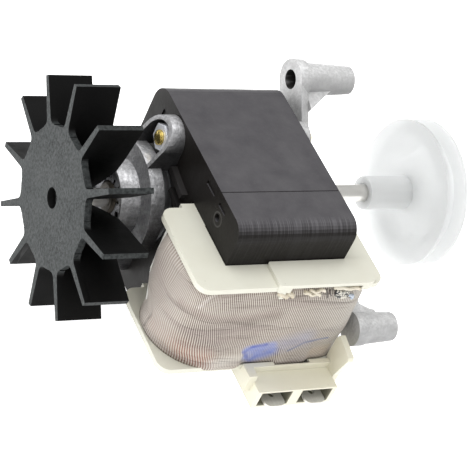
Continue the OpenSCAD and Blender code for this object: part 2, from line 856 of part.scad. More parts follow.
// Half outline of one blade with its root fillet, along local X
module blade_front() {
    t0 = blade_root_t / 2;
    t1 = blade_tip_t / 2;
    f = blade_fillet;
    side = concat(
        [[disc_r * 0.8, t0 + f]],
        [for (a = [90 : -15 : 0]) [disc_r + f - f * sin(a), t0 + f - f * cos(a)]],
        [[fan_r, t1]]);
    mirrored = [for (i = [len(side) - 1 : -1 : 0]) [side[i][0], -side[i][1]]];
    polygon(concat(side, mirrored));
}

// Plain blade from the hub to the tip, along local X
module blade_plain() {
    t0 = blade_root_t / 2;
    t1 = blade_tip_t / 2;
    polygon([[fan_hub_r - 0.6, t1], [disc_r, t0], [fan_r, t1], [fan_r, -t1], [disc_r, -t0], [fan_hub_r - 0.6, -t1]]);
}

module impeller() {
    hub_end = fan_back - hub_back;
    color("#2b2d2f")
    difference() {
        union() {
            slab(fan_front, disc_t) {
                circle(r = disc_r);
                for (i = [0 : blades - 1]) rotate(blade_turn + i * 360 / blades) blade_front();
            }
            slab(fan_front, fan_depth) intersection() {
                circle(r = fan_r + 1);
                for (i = [0 : blades - 1]) rotate(blade_turn + i * 360 / blades) blade_plain();
            }
            rod(fan_front, hub_end - fan_front, fan_hub_r);
        }
        rod(fan_front - 1, fan_hole_deep + 1, fan_hole_r);
        rod(fan_front, fan_depth, shaft_r + 0.01);
        spin() polygon([
            [0, hub_end], [fan_hub_r, hub_end], [fan_hub_r + 3.3, fan_back - hub_back / 2],
            [hollow_r, fan_back - 0.2], [hollow_r, fan_back + 1], [0, fan_back + 1]]);
    }
}

module grooved_wheel() {
    x0 = wheel_x;
    x1 = wheel_x + wheel_w;
    gr = wheel_r - groove_d;
    color("#f2f4f4", 0.7)
    difference() {
        union() {
            spin() polygon([
                [wheel_ring_r, x0], [wheel_r, x0], [wheel_r, x0 + rim_t - 0.5], [gr, x0 + rim_t + 0.6],
                [gr, x1 - rim_t - 0.6], [wheel_r, x1 - rim_t + 0.5], [wheel_r, x1], [wheel_ring_r, x1]]);
            rod(x0, web_t, wheel_ring_r + 1);
            rod(wheel_hub_x, shaft_out + hub_cap - wheel_hub_x, wheel_hub_r);
        }
        rod(wheel_hub_x - 1, shaft_out - wheel_hub_x + 1.02, shaft_r + 0.01);
        spin() polygon([
            [shaft_r, wheel_hub_x - 1], [shaft_r + 1, wheel_hub_x - 1],
            [shaft_r + 0.01, wheel_hub_x + 0.6], [shaft_r, wheel_hub_x + 0.6]]);
    }
}

stator_stack();
coil_core_bar();
shading_rings(1);  // shading_rings_upper
shading_rings(-1);  // shading_rings_lower
bobbin();
coil_winding();
coil_tape();
lead_splices();
terminal_block();
spade_tab(0);  // spade_tab_1
spade_tab(1);  // spade_tab_2
impeller_bracket();
wheel_bracket();
bearing(-1);  // impeller_bearing
bearing(1);  // wheel_bearing
bearing_clip(-1);  // impeller_bearing_clip
bearing_clip(1);  // wheel_bearing_clip
oil_felt(-1);  // impeller_oil_felt
oil_felt(1);  // wheel_oil_felt
clamp_screws();
clamp_nuts();
shaft();
rotor_core();
rotor_cage();
spacer(-1);  // impeller_side_spacer
spacer(1);  // wheel_side_spacer
thrust_washer(-1);  // impeller_side_washer
thrust_washer(1);  // wheel_side_washer
impeller();
grooved_wheel();
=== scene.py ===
# %% [markdown]
# # A dryer fan motor, dressed for its picture
# The solids of this motor come from a CAD pack: laminated frame, coil, two cast brackets,
# an impeller and a grooved wheel. This lesson adds what a solid can't say: paint over
# sheet edges, grainy castings, woven tape, wire ends and a soft studio light.
# Everything is in metres. X runs along the shaft, Y points away from the coil, Z is up.

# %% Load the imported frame
import math
import random

import bpy
from mathutils import Matrix, Vector


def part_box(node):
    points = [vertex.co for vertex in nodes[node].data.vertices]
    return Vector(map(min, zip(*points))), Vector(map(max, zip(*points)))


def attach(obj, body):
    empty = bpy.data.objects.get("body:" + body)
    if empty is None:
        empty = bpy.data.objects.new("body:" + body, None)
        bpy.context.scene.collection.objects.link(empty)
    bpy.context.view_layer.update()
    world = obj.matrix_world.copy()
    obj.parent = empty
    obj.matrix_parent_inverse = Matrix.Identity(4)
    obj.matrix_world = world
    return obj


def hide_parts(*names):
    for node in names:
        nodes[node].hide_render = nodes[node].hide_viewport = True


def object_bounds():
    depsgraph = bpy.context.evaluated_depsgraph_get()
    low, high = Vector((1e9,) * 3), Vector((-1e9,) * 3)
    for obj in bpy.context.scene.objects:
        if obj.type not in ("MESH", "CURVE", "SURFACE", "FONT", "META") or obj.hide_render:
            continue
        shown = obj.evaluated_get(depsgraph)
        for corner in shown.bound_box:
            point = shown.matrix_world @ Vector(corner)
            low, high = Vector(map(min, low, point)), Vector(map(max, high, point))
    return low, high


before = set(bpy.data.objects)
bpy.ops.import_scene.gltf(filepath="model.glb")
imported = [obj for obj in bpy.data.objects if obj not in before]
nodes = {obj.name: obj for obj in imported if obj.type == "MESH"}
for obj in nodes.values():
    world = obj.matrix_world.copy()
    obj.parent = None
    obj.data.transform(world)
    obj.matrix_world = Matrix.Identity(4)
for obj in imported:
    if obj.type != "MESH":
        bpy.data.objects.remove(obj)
cad_box = [list(corner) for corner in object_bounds()]
MM = 0.001
print("nodes:", len(nodes), "box in mm:", [[round(v / MM, 1) for v in corner] for corner in cad_box])

# %% [markdown]
# Two helpers serve the pieces that are made here. One turns points and faces into an object.
# The other lists the faces between rings of points, and closes both ends where asked.

# %% Helpers for new meshes
def new_piece(name, points, faces, smooth=True):
    """An object of points in metres, linked to the scene."""
    mesh = bpy.data.meshes.new(name)
    mesh.from_pydata(points, [], faces)
    if smooth:
        mesh.shade_smooth()
    thing = bpy.data.objects.new(name, mesh)
    bpy.context.scene.collection.objects.link(thing)
    return thing


def ring_faces(rings, sides, capped=True):
    """Faces between rings of points that follow each other."""
    faces = []
    for j in range(rings - 1):
        for i in range(sides):
            k = (i + 1) % sides
            faces.append((j * sides + i, j * sides + k, (j + 1) * sides + k, (j + 1) * sides + i))
    if capped:
        faces.append(tuple(range(sides))[::-1])
        faces.append(tuple((rings - 1) * sides + i for i in range(sides)))
    return faces


print("a square tube of two rings has", len(ring_faces(2, 4)), "faces")

# %% [markdown]
# The camera comes first, so that every later choice is judged from the same place.
# A long lens stands well back, so the motor's edges stay nearly parallel. The camera looks
# down at the impeller end and is rolled, which lays the shaft across the picture. Its place
# and turn were fitted to edges and circles in the photograph, which a guess by eye can't match.

# %% Camera
right = Vector((0.8558, -0.3758, 0.3554))
up = Vector((0.0247, 0.7159, 0.6978))
eye = Vector((-0.315673, -0.331092, 0.333718))
back = right.cross(up)
camera_data = bpy.data.cameras.new("studio_camera")
camera_data.sensor_width = 36.0
camera_data.lens = 151.1
camera_data.clip_start = 0.05
camera = bpy.data.objects.new("studio_camera", camera_data)
turn = Matrix((right, up, back)).transposed().to_4x4()
camera.matrix_world = Matrix.Translation(eye) @ turn
bpy.context.scene.collection.objects.link(camera)
bpy.context.scene.camera = camera
bpy.context.scene.view_settings.view_transform = "Standard"
print("camera stands", round(eye.length, 3), "m from the shaft's origin")

# %% [markdown]
# A product picture has a plain pale floor and large soft lights. A big panel over the top
# gives the grey sheen on flat tops, a weaker one at the left shapes the impeller's disc, and
# one in front fills in. The white world lightens every shadow, so it can't make the faces
# that look away nearly black, as they are in the picture: their materials do that instead.

# %% Floor, lights and world
FLOOR_Z = cad_box[0][2] - 0.012


def add_panel(name, place, aim, size, power):
    """A square light that faces aim."""
    data = bpy.data.lights.new(name, "AREA")
    data.shape = "SQUARE"
    data.size = size
    data.energy = power
    lamp = bpy.data.objects.new(name, data)
    lamp.location = place
    lamp.rotation_euler = (Vector(aim) - Vector(place)).to_track_quat("-Z", "Y").to_euler()
    bpy.context.scene.collection.objects.link(lamp)


middle = Vector((-0.025, -0.01, -0.005))
add_panel("top_panel", middle + 0.8 * up + 0.6 * back + 0.1 * right, middle, 0.9, 7.0)
add_panel("left_panel", middle - 0.8 * right + 0.5 * back + 0.3 * up, middle, 0.5, 2.0)
add_panel("front_panel", middle + 1.1 * back - 0.2 * up + 0.5 * right, middle, 0.9, 3.0)
world = bpy.data.worlds.new("pale_room")
world.use_nodes = True
world.node_tree.nodes["Background"].inputs["Color"].default_value = (1.0, 1.0, 1.0, 1.0)
world.node_tree.nodes["Background"].inputs["Strength"].default_value = 0.66
bpy.context.scene.world = world

FLOOR_REACH = 4
floor_corners = [(x * FLOOR_REACH, y * FLOOR_REACH, FLOOR_Z) for x, y in ((-1, -1), (1, -1), (1, 1), (-1, 1))]
new_piece("pale_floor", floor_corners, [(0, 1, 2, 3)], smooth=False)
print("floor at", round(FLOOR_Z / MM, 1), "mm")

# %% [markdown]
# Materials are small networks of nodes. One helper class keeps them short: it makes the
# shader, and has a word each for noise, cells, ranges, mixing and bump. Painted images would
# need the mesh unwrapped first, and nodes need nothing but the place of each point.
# Every texture reads object coordinates, which in this scene are metres in the CAD frame,
# so a scale of 1000 means one repeat per millimetre.

# %% A helper for node materials
class Finish:
    """A material with its principled shader, and short words for the nodes that feed it."""

    def __init__(self, name, roughness=0.5, metallic=0.0, **sockets):
        self.material = bpy.data.materials.new(name)
        self.material.use_nodes = True
        self.tree = self.material.node_tree
        self.shader = self.tree.nodes["Principled BSDF"]
        self.set("Roughness", roughness)
        self.set("Metallic", metallic)
        for socket, value in sockets.items():
            self.set(socket.replace("_", " "), value)
        self.place = self.add("ShaderNodeTexCoord").outputs["Object"]

    def set(self, socket, value):
        self.shader.inputs[socket].default_value = value

    def add(self, kind, **settings):
        node = self.tree.nodes.new(kind)
        for key, value in settings.items():
            setattr(node, key, value)
        return node

    def soak(self, weight, scale):
        """Light that enters and leaves again nearby, equally in all colours."""
        self.set("Subsurface Weight", weight)
        self.set("Subsurface Scale", scale)
        self.set("Subsurface Radius", (1.0, 1.0, 1.0))

    def feed(self, source, socket):
        """Links an output, or sets a number, on an input."""
        if isinstance(source, bpy.types.NodeSocket):
            self.tree.links.new(source, socket)
        else:
            socket.default_value = source

    def stretched(self, x, y, z):
        """Object coordinates, scaled along each axis."""
        node = self.add("ShaderNodeMapping")
        node.inputs["Scale"].default_value = (x, y, z)
        self.feed(self.place, node.inputs["Vector"])
        return node.outputs["Vector"]

    def noise(self, scale, detail=3.0, rough=0.55, at=None, distort=0.0):
        node = self.add("ShaderNodeTexNoise")
        self.feed(at or self.place, node.inputs["Vector"])
        node.inputs["Scale"].default_value = scale
        node.inputs["Detail"].default_value = detail
        node.inputs["Roughness"].default_value = rough
        node.inputs["Distortion"].default_value = distort
        return node.outputs["Fac"]

    def cells(self, scale):
        node = self.add("ShaderNodeTexVoronoi")
        self.feed(self.place, node.inputs["Vector"])
        node.inputs["Scale"].default_value = scale
        return node.outputs["Distance"]

    def band(self, value, low, high, to_low=0.0, to_high=1.0):
        """Maps low..high to to_low..to_high and clamps."""
        node = self.add("ShaderNodeMapRange")
        self.feed(value, node.inputs["Value"])
        ends = {"From Min": low, "From Max": high, "To Min": to_low, "To Max": to_high}
        for socket, number in ends.items():
            node.inputs[socket].default_value = number
        return node.outputs["Result"]

    def maths(self, operation, a, b=0.0, clamp=False):
        node = self.add("ShaderNodeMath", operation=operation, use_clamp=clamp)
        self.feed(a, node.inputs[0])
        self.feed(b, node.inputs[1])
        return node.outputs[0]

    def times(self, a, b):
        return self.maths("MULTIPLY", a, b)

    def plus(self, a, b):
        return self.maths("ADD", a, b)

    def kept(self, attribute):
        """A number that was kept on the mesh's points."""
        return self.add("ShaderNodeAttribute", attribute_name=attribute).outputs["Fac"]

    def vector(self, x, y, z=0.0):
        node = self.add("ShaderNodeCombineXYZ")
        for source, socket in zip((x, y, z), node.inputs):
            self.feed(source, socket)
        return node.outputs[0]

    def axis(self, letter):
        node = self.add("ShaderNodeSeparateXYZ")
        self.feed(self.place, node.inputs[0])
        return node.outputs[letter]

    def facing(self, letter):
        """The surface's own normal along one axis, in the object's frame."""
        node = self.add("ShaderNodeSeparateXYZ")
        self.feed(self.add("ShaderNodeTexCoord").outputs["Normal"], node.inputs[0])
        return node.outputs[letter]

    def upper(self):
        """How far the surface faces up and away from the coil's side, from -1 to 1."""
        return self.plus(self.times(self.facing("Z"), 0.7), self.times(self.facing("Y"), 0.7))

    def spot(self, place, radius, soft):
        """1 within radius of a line along X through a (Y, Z) place, all in mm."""
        y, z = place
        return self.stroke(self.axis("Y"), self.axis("Z"), (y - 0.01, z), (y + 0.01, z), radius, soft)

    def outward(self):
        """How far the surface faces away from the shaft line, from -1 to 1."""
        away = self.vector(0.0, self.axis("Y"), self.axis("Z"))
        unit = self.add("ShaderNodeVectorMath", operation="NORMALIZE")
        self.feed(away, unit.inputs[0])
        dot = self.add("ShaderNodeVectorMath", operation="DOT_PRODUCT")
        self.feed(unit.outputs[0], dot.inputs[0])
        self.feed(self.add("ShaderNodeTexCoord").outputs["Normal"], dot.inputs[1])
        return dot.outputs["Value"]

    def mix(self, amount, a, b):
        """Colour a where amount is 0 and b where it is 1."""
        node = self.add("ShaderNodeMix", data_type="RGBA")
        self.feed(amount, node.inputs[0])
        for source, socket in ((a, node.inputs[6]), (b, node.inputs[7])):
            self.feed(source if isinstance(source, bpy.types.NodeSocket) else (*source, 1.0), socket)
        return node.outputs[2]

    def stroke(self, across, above, start, end, width, soft):
        """1 within width of a line between two points (mm), fading to 0 over soft.

        The points are places on the two lengths across and above, which are in metres.
        """
        (x0, z0), (x1, z1) = ((v * MM for v in point) for point in (start, end))
        length = max(math.hypot(x1 - x0, z1 - z0), 1e-6)
        ux, uz = (x1 - x0) / length, (z1 - z0) / length
        dx, dz = self.maths("SUBTRACT", across, x0), self.maths("SUBTRACT", above, z0)
        along = self.plus(self.times(dx, ux), self.times(dz, uz))
        over = self.maths("SUBTRACT", along, self.band(along, 0.0, length, 0.0, length))
        off = self.plus(self.times(dx, -uz), self.times(dz, ux))
        far = self.maths("SQRT", self.plus(self.times(over, over), self.times(off, off)))
        return self.band(far, width * MM, (width + soft) * MM, 1.0, 0.0)

    def colour(self, source):
        self.feed(source, self.shader.inputs["Base Color"])

    def roughness(self, source):
        self.feed(source, self.shader.inputs["Roughness"])

    def bump(self, height, distance):
        """Bump whose height of 0..1 stands for distance in metres."""
        node = self.add("ShaderNodeBump")
        node.inputs["Strength"].default_value = 1.0
        node.inputs["Distance"].default_value = distance
        self.feed(height, node.inputs["Height"])
        last = self.shader.inputs["Normal"]
        if last.is_linked:
            self.feed(last.links[0].from_socket, node.inputs["Normal"])
        self.feed(node.outputs["Normal"], last)


def dress(names, finish, edges=None):
    """Gives a finish to CAD nodes or new pieces, and another to their softened edges."""
    for name in names.split():
        thing = nodes[name] if name in nodes else bpy.data.objects[name]
        thing.data.materials.clear()
        thing.data.materials.append(finish.material)
        if edges:
            thing.data.materials.append(edges.material)
            thing.modifiers["soft_edge"].material = 1


floor_finish = Finish("pale_floor", roughness=0.9)
floor_finish.colour(floor_finish.mix(floor_finish.noise(3.0), (0.93, 0.93, 0.93), (0.95, 0.95, 0.95)))
floor_finish.set("Emission Color", (1.0, 1.0, 1.0, 1.0))
floor_finish.set("Emission Strength", 0.8)
dress("pale_floor", floor_finish)
print("helper words:", [word for word in dir(Finish) if not word.startswith("_")])

# %% [markdown]
# CAD edges are perfectly sharp, and real ones never are: they catch a thin line of light.
# A bevel in the shader would round only the light. Here a weld joins the imported mesh's
# split corners and a bevel rounds each edge for real. Both are modifiers, so the CAD mesh
# itself isn't touched.

# %% Soft edges on the CAD nodes
def soften(names, width, angle=32.0, segments=2):
    """Rounds the sharp edges of CAD nodes by width in mm."""
    for name in names.split():
        weld = nodes[name].modifiers.new("weld", "WELD")
        weld.merge_threshold = 2e-6
        edge = nodes[name].modifiers.new("soft_edge", "BEVEL")
        edge.width = width * MM
        edge.segments = segments
        edge.limit_method = "ANGLE"
        edge.angle_limit = math.radians(angle)
        edge.harden_normals = True
        edge.use_clamp_overlap = True


soften("impeller", 0.18)
soften("stator_stack coil_core_bar", 0.22)
soften("bobbin terminal_block", 0.35, segments=3)
soften("impeller_bracket", 0.4, angle=25.0)
soften("wheel_bracket", 0.3)
soften("grooved_wheel", 0.3, segments=3)
soften("clamp_nuts spade_tab_1 spade_tab_2", 0.12)
print("softened nodes:", sum(1 for node in nodes.values() if node.modifiers))

# %% [markdown]
# The frame is a stack of thin steel sheets under black paint, with a speckle of dust on top.
# The top is painted grey as painted light from above, and the other faces nearly black as
# painted shade, by the way that each of them looks. Where the bar is round, the sheet edges
# show as fine pale lines at right angles to the shaft; they are kept to the faces that tilt
# towards the top light, so they are also a painted highlight.
# Each sheet could be its own solid, but paint fills the gaps and only some edges show. Noise
# that is squeezed along the shaft and stretched across it draws such broken lines.

# %% Painted laminations
# The press mark beside the coil, as (Y, Z) in mm
KNOB = (-30.0, 21.5)


def painted_stack(name, line_strength):
    """Black paint on sheet edges, with lines that show as strongly as asked."""
    paint = Finish(name, roughness=0.42, Specular_IOR_Level=0.13)
    lit_top = paint.band(paint.facing("Z"), 0.55, 1.0)
    sheet_edges = paint.noise(1.0, detail=1.0, at=paint.stretched(2600.0, 25.0, 25.0))
    broken = paint.noise(1.0, detail=2.0, at=paint.stretched(240.0, 40.0, 60.0))
    lines = paint.band(paint.plus(sheet_edges, paint.times(broken, 0.35)), 0.62, 0.8)
    # The pale sheet lines are real edges, but they show mostly where the round bar tilts towards the top
    # light and fade on the front below: partly a painted highlight.
    below_top = paint.band(paint.facing("Y"), 0.0, -0.25)
    above_foot = paint.band(paint.facing("Y"), -0.9, -0.5, 0.08, 1.0)
    edge_face = paint.maths("SUBTRACT", 1.0, paint.maths("ABSOLUTE", paint.facing("X")), clamp=True)
    shown = paint.times(lines, paint.times(below_top, above_foot))
    dust = paint.band(paint.noise(1500.0, detail=3.0, rough=0.7), 0.56, 0.72)
    # Painted light and shade: a near-black tone for faces that look away from the top, a grey one for faces
    # that look up.
    shaded_tone = paint.mix(paint.noise(38.0), (0.0075, 0.0066, 0.0062), (0.013, 0.0115, 0.0105))
    cloud = paint.band(paint.noise(160.0, detail=4.0), 0.3, 0.7)
    lit_tone = paint.mix(cloud, (0.064, 0.0615, 0.067), (0.088, 0.085, 0.09))
    tone = paint.mix(lit_top, shaded_tone, lit_tone)
    # Dust speckle, laid mostly on faces that look up: partly real dust, partly a painted sheen on the top.
    dust_and_sheen = paint.times(dust, paint.band(lit_top, 0.0, 1.0, 0.06, 0.3))
    tone = paint.mix(dust_and_sheen, tone, (0.12, 0.115, 0.11))
    collar = paint.maths("SUBTRACT", paint.spot(KNOB, 2.0, 0.2), paint.spot(KNOB, 1.6, 0.2))
    tone = paint.mix(paint.times(collar, 0.6), tone, (0.075, 0.072, 0.07))
    paint.colour(paint.mix(paint.times(shown, line_strength), tone, (0.17, 0.165, 0.175)))
    paint.roughness(paint.band(paint.noise(160.0), 0.3, 0.7, 0.3, 0.46))
    paint.bump(paint.times(sheet_edges, edge_face), 0.00003 * (0.3 + line_strength))
    paint.bump(paint.noise(900.0, detail=3.0), 0.00003)
    return paint


dress("stator_stack", painted_stack("frame_paint", 0.06))
dress("coil_core_bar", painted_stack("bar_paint", 0.42))
SHEET = 0.0005
stack_low, stack_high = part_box("stator_stack")
print("sheets across the stack:", round((stack_high.x - stack_low.x) / SHEET))

# %% [markdown]
# The impeller is moulded in charcoal plastic with a fine speckled grain. Its front and the rims
# of its blades are painted grey as painted light, and the sides of the blades nearly black as
# painted shade: under soft lights one even tone would leave the sides too pale, so the tone
# follows the way that a face looks. Pale plastic gets a little light that soaks in, and the
# inside of each socket of the block is painted dark as painted shade.

# %% Moulded plastics
charcoal = Finish("charcoal_plastic", roughness=0.5, Specular_IOR_Level=0.12)
# Painted light and shade: the front and the blade rims get a grey speckled tone, the blade sides a near-black
# tone, by the way that each face looks.
front = charcoal.band(charcoal.facing("X"), -0.55, -0.95)
rim = charcoal.band(charcoal.outward(), 0.55, 0.9, 0.0, 0.8)
front = charcoal.maths("MAXIMUM", front, rim)
speckle = charcoal.band(charcoal.noise(1100.0, detail=3.0, rough=0.7), 0.36, 0.64)
cloudy = charcoal.band(charcoal.noise(70.0, detail=3.0), 0.3, 0.7)
lit_grain_tone = charcoal.mix(speckle, (0.014, 0.0155, 0.016), (0.06, 0.066, 0.066))
lit_grain_tone = charcoal.mix(charcoal.times(cloudy, 0.35), lit_grain_tone, (0.055, 0.06, 0.06))
shaded_side_tone = charcoal.mix(charcoal.noise(50.0), (0.0022, 0.0022, 0.0022), (0.0045, 0.0045, 0.0045))
charcoal.colour(charcoal.mix(front, shaded_side_tone, lit_grain_tone))
charcoal.roughness(charcoal.band(charcoal.noise(220.0), 0.3, 0.7, 0.46, 0.62))
charcoal.bump(charcoal.noise(1900.0, detail=2.0), 0.00003)
charcoal.bump(charcoal.noise(90.0, detail=1.0), 0.00006)
dress("impeller", charcoal)


def moulding(name, pale, deep, rough, see_in=0.0):
    """Pale moulded plastic, a little uneven in tone and sheen."""
    plastic = Finish(name, roughness=rough)
    plastic.soak(see_in, 0.002)
    tone = plastic.mix(plastic.band(plastic.noise(55.0, detail=4.0), 0.3, 0.7), pale, deep)
    specks = plastic.band(plastic.cells(260.0), 0.035, 0.055, 0.35, 0.0)
    plastic.colour(plastic.mix(specks, tone, tuple(0.55 * v for v in deep)))
    plastic.roughness(plastic.band(plastic.noise(300.0), 0.3, 0.7, rough - 0.06, rough + 0.08))
    plastic.bump(plastic.noise(900.0, detail=2.0), 0.000015)
    plastic.bump(plastic.noise(60.0, detail=1.0), 0.00008)
    return plastic


dress("bobbin", moulding("bobbin_plastic", (0.65, 0.645, 0.56), (0.6, 0.585, 0.495), 0.42, 0.08))
block = moulding("block_plastic", (0.76, 0.74, 0.62), (0.7, 0.67, 0.54), 0.38, 0.06)
# Sockets of the block: middle between them, middle height, mouth, their distance and half sizes
BLOCK_X, SOCKET_Z, MOUTH_Y = -0.0305, -0.01895, -0.0597
SOCKET_STEP, HALF_WIDE, HALF_HIGH = 0.00635, 0.0048, 0.0025


def within(finish, value, half):
    """1 where the size of value is under half, with an edge of 0.1 mm."""
    return finish.band(finish.maths("ABSOLUTE", value), half, half + 0.0001, 1.0, 0.0)


# Painted shade: the inside of each socket is coloured dark, darker further in.
across = block.maths("ABSOLUTE", block.plus(block.axis("X"), -BLOCK_X))
in_x = within(block, block.plus(across, -SOCKET_STEP), HALF_WIDE)
in_z = within(block, block.plus(block.axis("Z"), -SOCKET_Z), HALF_HIGH)
in_y = block.band(block.axis("Y"), MOUTH_Y + 0.0002, MOUTH_Y + 0.003, 0.0, 0.85)
inside = block.times(block.times(in_x, in_z), in_y)
plain = block.shader.inputs["Base Color"].links[0].from_socket
block.colour(block.mix(inside, plain, (0.13, 0.125, 0.085)))
dress("terminal_block", block)
natural = Finish("natural_plastic", roughness=0.6, Transmission_Weight=0.3, IOR=1.3, Specular_IOR_Level=0.2)
natural.soak(0.85, 0.012)
natural.colour(natural.mix(natural.noise(30.0), (0.73, 0.745, 0.745), (0.71, 0.725, 0.725)))
natural.bump(natural.noise(700.0, detail=2.0), 0.00002)
dress("grooved_wheel", natural)
print("plastics:", [m.name for m in bpy.data.materials if "plastic" in m.name])

# %% [markdown]
# Die-cast metal leaves the mould with a mottled skin: grey patches, tiny pits and a sandy
# grain. The pits are too small to model, so cells and noise of several scales give them as
# tone and bump. Faces that look down or to the coil's side are painted darker as painted
# shade, and so are the walls of the two boss holes. The bracket behind the impeller is the same
# alloy, painted darker all over as painted shade from the impeller. Bevelled edges get a
# brighter bare metal, partly wear and partly a painted highlight. Turned parts have fine
# rings, from noise that is squeezed along the shaft.

# %% Castings and turned metal
def casting(name, pale, deep, metallic, rough, shade, holes=()):
    """Die-cast skin, darker below and towards the coil as painted shade, and painted black inside its (place,
    radius) holes as painted shade.
    """
    cast = Finish(name, roughness=rough, metallic=metallic)
    patches = cast.band(cast.noise(150.0, detail=6.0, rough=0.65), 0.36, 0.64)
    pits = cast.band(cast.cells(1100.0), 0.05, 0.3)
    grain = cast.band(cast.noise(1300.0, detail=4.0, rough=0.7), 0.38, 0.62)
    # Painted shade: faces that look down or to the coil's side take the darker tone.
    up_facing = cast.band(cast.upper(), -0.75, 0.45)
    tone = cast.mix(cast.times(patches, 0.6), pale, deep)
    tone = cast.mix(cast.times(grain, 0.55), tone, deep)
    tone = cast.mix(up_facing, tuple(shade * v for v in deep), tone)
    # Painted shade: the walls of the boss holes are coloured nearly black.
    for place, radius in holes:
        wall = cast.band(cast.maths("ABSOLUTE", cast.facing("X")), 0.2, 0.5, 1.0, 0.0)
        hole_shade = cast.times(cast.spot(place, radius + 0.05, 0.1), wall)
        tone = cast.mix(hole_shade, tone, (0.025, 0.024, 0.022))
    cast.colour(tone)
    cast.roughness(cast.band(cast.noise(350.0), 0.3, 0.7, rough - 0.12, rough + 0.12))
    cast.bump(cast.noise(1100.0, detail=3.0), 0.00016)
    cast.bump(pits, 0.00004)
    cast.bump(cast.noise(170.0, detail=2.0), 0.00012)
    return cast


def rubbed_and_highlit(name, pale, deep):
    """Bare bright metal on bevelled cast edges: partly worn, partly a painted highlight."""
    bare = Finish(name, roughness=0.4, metallic=0.2)
    bare.colour(bare.mix(bare.band(bare.noise(700.0, detail=3.0), 0.35, 0.6), pale, deep))
    bare.bump(bare.noise(1500.0), 0.00005)
    return bare


BOSS_HOLES = (((15.7, 29.3), 2.75), ((-46.2, -5.7), 2.75))
# Both brackets are one alloy; the one behind the impeller takes darker tones as painted shade from the
# impeller, and both get a brighter metal on bevelled edges, partly wear and partly a painted highlight.
bright_skin = casting("cast_skin", (0.78, 0.78, 0.78), (0.4, 0.4, 0.4), 0.35, 0.55, 0.7, BOSS_HOLES)
impeller_shade_skin = casting("impeller_shaded_cast_skin", (0.7, 0.7, 0.715), (0.16, 0.16, 0.165), 0.55, 0.4, 0.16)
dress("wheel_bracket", bright_skin, rubbed_and_highlit("rubbed_highlit_alloy", (0.85, 0.85, 0.85), (0.6, 0.6, 0.6)))
dress("impeller_bracket", impeller_shade_skin, rubbed_and_highlit("rubbed_highlit_shaded_alloy", (0.8, 0.8, 0.8), (0.3, 0.3, 0.3)))


def turned(name, pale, deep, rough, metallic):
    """Metal with fine rings round the shaft line."""
    metal = Finish(name, roughness=rough, metallic=metallic)
    rings = metal.noise(1.0, detail=2.0, at=metal.stretched(6000.0, 60.0, 60.0))
    metal.colour(metal.mix(rings, pale, deep))
    metal.roughness(metal.band(metal.noise(240.0), 0.3, 0.7, rough - 0.06, rough + 0.08))
    metal.bump(rings, 0.00001)
    return metal


# The spacers, bearings and clips take near-black tones: painted shade of the bearing recesses in the
# brackets.
METALS = (
    ("shaft", "ground_steel", (0.74, 0.73, 0.7), (0.6, 0.59, 0.56), 0.3, 1.0),
    (
        "impeller_side_spacer wheel_side_spacer", "shade_darkened_spacer_steel",
        (0.09, 0.09, 0.09), (0.05, 0.05, 0.05), 0.35, 0.5,
    ),
    ("rotor_core", "rotor_steel", (0.3, 0.3, 0.31), (0.2, 0.2, 0.21), 0.4, 1.0),
    ("rotor_cage", "cage_alloy", (0.5, 0.51, 0.52), (0.36, 0.37, 0.38), 0.42, 1.0),
    ("impeller_bearing wheel_bearing", "shade_darkened_bronze", (0.06, 0.052, 0.042), (0.03, 0.026, 0.02), 0.36, 1.0),
    (
        "impeller_bearing_clip wheel_bearing_clip", "spring_steel",
        (0.2, 0.2, 0.21), (0.07, 0.07, 0.075), 0.3, 1.0,
    ),
    ("clamp_nuts", "bright_zinc", (0.95, 0.96, 1.0), (0.8, 0.83, 0.9), 0.28, 0.35),
    ("clamp_screws", "yellow_zinc", (0.78, 0.62, 0.2), (0.6, 0.44, 0.12), 0.28, 1.0),
    ("spade_tab_1 spade_tab_2", "tinned_brass", (0.8, 0.79, 0.74), (0.6, 0.58, 0.52), 0.34, 0.5),
    (
        "shading_rings_upper shading_rings_lower", "painted_copper",
        (0.03, 0.028, 0.027), (0.02, 0.018, 0.018), 0.4, 0.3,
    ),
)
for names, name, pale, deep, rough, metallic in METALS:
    dress(names, turned(name, pale, deep, rough, metallic))
dress("lead_splices", moulding("splice_sleeve", (0.5, 0.42, 0.3), (0.36, 0.28, 0.18), 0.55))
# The felt is near black: partly its oil, partly painted shade of the bearing recesses.
felt = Finish("oiled_felt_in_shade", roughness=0.95)
felt.colour(felt.mix(felt.noise(900.0, detail=5.0), (0.016, 0.014, 0.012), (0.035, 0.03, 0.024)))
felt.bump(felt.noise(1300.0, detail=5.0), 0.0002)
dress("impeller_oil_felt wheel_oil_felt", felt)
fibre = moulding("fibre_washer", (0.2, 0.1, 0.05), (0.14, 0.07, 0.03), 0.6)
dress("impeller_side_washer wheel_side_washer", fibre)
print("materials so far:", len(bpy.data.materials))

# %% [markdown]
# The coil is wrapped in woven glass tape, drawn tight over its corners and pressed by the
# flanges. It is one band of points: a loop goes round the coil, and rows climb from flange
# to flange. Each row is a rounded rectangle with its own box and corner radii, because the
# coil is slumped: wide and very round below, narrower and squarer above. Cloth simulation
# would need slack to work on, and this tape has none. The arc length is kept on the mesh, so
# that the weave can follow it.

# %% The outline of the coil at one height
spool_low, spool_high = (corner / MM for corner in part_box("coil_tape"))
STACK_X0 = stack_low.x / MM


def between(table, v):
    """Value of a table of (position, value) pairs at v, with smooth steps."""
    for (v0, a), (v1, b) in zip(table, table[1:]):
        if v <= v1:
            t = min(1.0, max(0.0, (v - v0) / (v1 - v0)))
            t = t * t * (3 - 2 * t)
            return a + (b - a) * t
    return table[-1][1]


